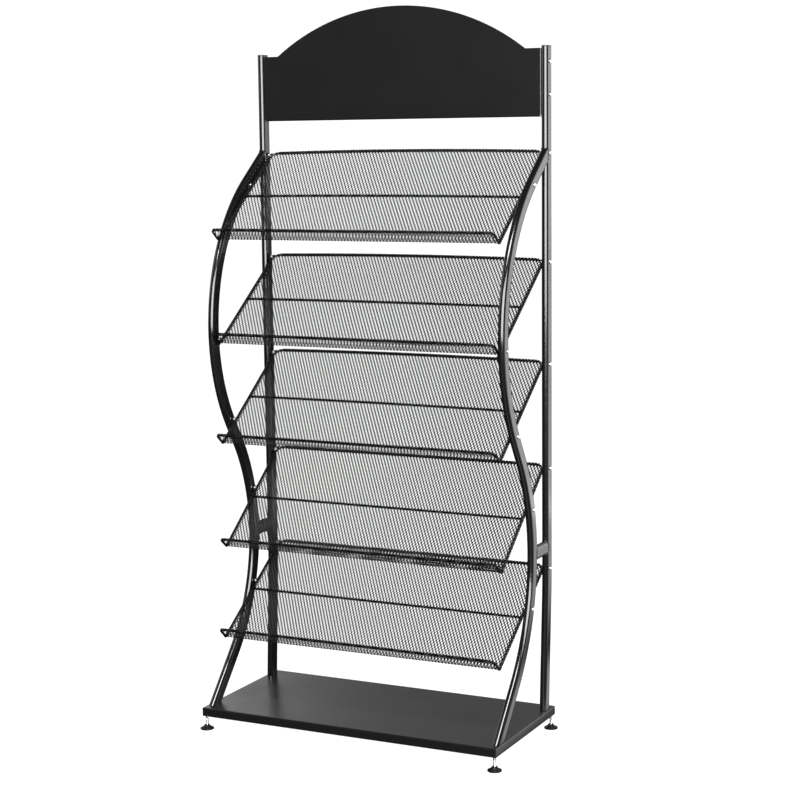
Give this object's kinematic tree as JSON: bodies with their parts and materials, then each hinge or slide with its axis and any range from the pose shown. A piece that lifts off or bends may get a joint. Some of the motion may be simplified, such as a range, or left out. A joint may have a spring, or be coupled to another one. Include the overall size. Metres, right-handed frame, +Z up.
{
  "type": "brochure rack",
  "caption": "Floor-standing display rack with tilted mesh shelves between two bent-tube side frames, an arched sign panel on top and a flat base tray on levelling feet.",
  "frame": {"origin": "centre of the footprint on the floor, under the middle of the rack", "axes": "+Z up from the floor; -Y is the front, towards the reader, and +Y the back, where the uprights stand; +X is the reader's right, across the width"},
  "size_m": [0.665, 0.3156, 1.449],
  "materials": {
    "black_powder_coat": "semi-gloss black powder coat with a fine orange peel",
    "black_wire_coat": "satin black powder coat on wire and expanded mesh",
    "black_plug_plastic": "satin black moulded plastic",
    "black_foot_plastic": "satin black moulded plastic, slightly glossy",
    "bright_zinc": "bright zinc plate",
    "plain_steel": "plain steel, out of sight inside the tray"
  },
  "bodies": {
    "rack": {"base_tray": "black_powder_coat", "upright_left": "black_powder_coat", "upright_right": "black_powder_coat", "upright_plug_left": "black_plug_plastic", "upright_plug_right": "black_plug_plastic", "front_tube_left": "black_powder_coat", "front_tube_right": "black_powder_coat", "tie_bar_left": "black_powder_coat", "tie_bar_right": "black_powder_coat", "header_panel": "black_powder_coat", "shelf_1_frame": "black_wire_coat", "shelf_1_mesh": "black_wire_coat", "shelf_1_screw_rear_left": "bright_zinc", "shelf_1_screw_rear_right": "bright_zinc", "shelf_1_screw_front_left": "bright_zinc", "shelf_1_screw_front_right": "bright_zinc", "shelf_2_frame": "black_wire_coat", "shelf_2_mesh": "black_wire_coat", "shelf_2_screw_rear_left": "bright_zinc", "shelf_2_screw_rear_right": "bright_zinc", "shelf_2_screw_front_left": "bright_zinc", "shelf_2_screw_front_right": "bright_zinc", "shelf_3_frame": "black_wire_coat", "shelf_3_mesh": "black_wire_coat", "shelf_3_screw_rear_left": "bright_zinc", "shelf_3_screw_rear_right": "bright_zinc", "shelf_3_screw_front_left": "bright_zinc", "shelf_3_screw_front_right": "bright_zinc", "shelf_4_frame": "black_wire_coat", "shelf_4_mesh": "black_wire_coat", "shelf_4_screw_rear_left": "bright_zinc", "shelf_4_screw_rear_right": "bright_zinc", "shelf_4_screw_front_left": "bright_zinc", "shelf_4_screw_front_right": "bright_zinc", "shelf_5_frame": "black_wire_coat", "shelf_5_mesh": "black_wire_coat", "shelf_5_screw_rear_left": "bright_zinc", "shelf_5_screw_rear_right": "bright_zinc", "shelf_5_screw_front_left": "bright_zinc", "shelf_5_screw_front_right": "bright_zinc", "header_screw_lower_left": "bright_zinc", "header_screw_lower_right": "bright_zinc", "header_screw_upper_left": "bright_zinc", "header_screw_upper_right": "bright_zinc", "base_bolt_front_left": "bright_zinc", "foot_nut_front_left": "plain_steel", "base_bolt_front_right": "bright_zinc", "foot_nut_front_right": "plain_steel", "base_bolt_rear_left": "bright_zinc", "foot_nut_rear_left": "plain_steel", "base_bolt_rear_right": "bright_zinc", "foot_nut_rear_right": "plain_steel"},
    "pad_front_left": {"foot_pad_front_left": "black_foot_plastic"},
    "stud_front_left": {"foot_stud_front_left": "bright_zinc"},
    "pad_front_right": {"foot_pad_front_right": "black_foot_plastic"},
    "stud_front_right": {"foot_stud_front_right": "bright_zinc"},
    "pad_rear_left": {"foot_pad_rear_left": "black_foot_plastic"},
    "stud_rear_left": {"foot_stud_rear_left": "bright_zinc"},
    "pad_rear_right": {"foot_pad_rear_right": "black_foot_plastic"},
    "stud_rear_right": {"foot_stud_rear_right": "bright_zinc"}
  },
  "joints": [
    {"name": "foot_height_front_left", "type": "slide", "parent": "rack", "child": "pad_front_left", "axis": [0, 0, 1], "range_m": [-0.0045, 0.0045]},
    {"name": "foot_turn_front_left", "type": "hinge", "parent": "pad_front_left", "child": "stud_front_left", "pos_m": [-0.3185, -0.144, 0], "axis": [0, 0, 1], "range_deg": [-1620, 1620]},
    {"name": "foot_height_front_right", "type": "slide", "parent": "rack", "child": "pad_front_right", "axis": [0, 0, 1], "range_m": [-0.0045, 0.0045]},
    {"name": "foot_turn_front_right", "type": "hinge", "parent": "pad_front_right", "child": "stud_front_right", "pos_m": [0.3185, -0.144, 0], "axis": [0, 0, 1], "range_deg": [-1620, 1620]},
    {"name": "foot_height_rear_left", "type": "slide", "parent": "rack", "child": "pad_rear_left", "axis": [0, 0, 1], "range_m": [-0.0045, 0.0045]},
    {"name": "foot_turn_rear_left", "type": "hinge", "parent": "pad_rear_left", "child": "stud_rear_left", "pos_m": [-0.3185, 0.144, 0], "axis": [0, 0, 1], "range_deg": [-1620, 1620]},
    {"name": "foot_height_rear_right", "type": "slide", "parent": "rack", "child": "pad_rear_right", "axis": [0, 0, 1], "range_m": [-0.0045, 0.0045]},
    {"name": "foot_turn_rear_right", "type": "hinge", "parent": "pad_rear_right", "child": "stud_rear_right", "pos_m": [0.3185, 0.144, 0], "axis": [0, 0, 1], "range_deg": [-1620, 1620]}
  ],
  "couplings": [
    {"joint": "foot_turn_front_left", "follows": "foot_height_front_left", "rad_per_m": 6283.2},
    {"joint": "foot_turn_front_right", "follows": "foot_height_front_right", "rad_per_m": 6283.2},
    {"joint": "foot_turn_rear_left", "follows": "foot_height_rear_left", "rad_per_m": 6283.2},
    {"joint": "foot_turn_rear_right", "follows": "foot_height_rear_right", "rad_per_m": 6283.2}
  ]
}
